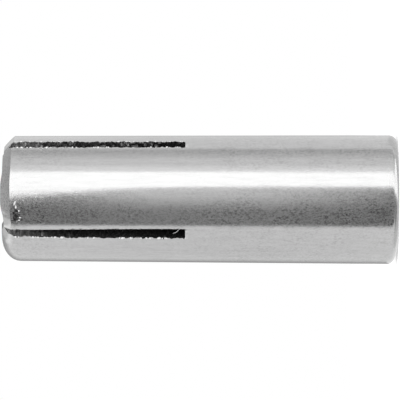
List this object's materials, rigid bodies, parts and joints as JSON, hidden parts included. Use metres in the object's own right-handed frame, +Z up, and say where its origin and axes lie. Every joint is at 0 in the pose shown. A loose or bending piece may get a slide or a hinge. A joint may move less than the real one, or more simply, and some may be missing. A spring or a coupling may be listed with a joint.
{
  "type": "drop-in anchor",
  "caption": "Smooth-wall steel drop-in anchor: a round shell, threaded inside at its mouth and sawn into fingers at its tip, with a tapered expander plug in its bore.",
  "frame": {"origin": "centre of the mouth face, the threaded end that finishes flush with the concrete", "axes": "+Z up the bore from the mouth to the slotted tip; the slots lie on +X, -X, +Y and -Y"},
  "size_m": [0.0128, 0.0128, 0.0397],
  "materials": {
    "shell": "bright zinc plating over cold-formed and sawn steel, lightly tumbled",
    "plug": "plain turned steel, lightly oiled"
  },
  "bodies": {
    "shell": {"anchor_shell": "shell"},
    "plug": {"expander_plug": "plug"}
  },
  "joints": [
    {"name": "expander_slide", "type": "slide", "parent": "shell", "child": "plug", "axis": [0, 0, 1], "range_m": [0, 0.002]}
  ]
}
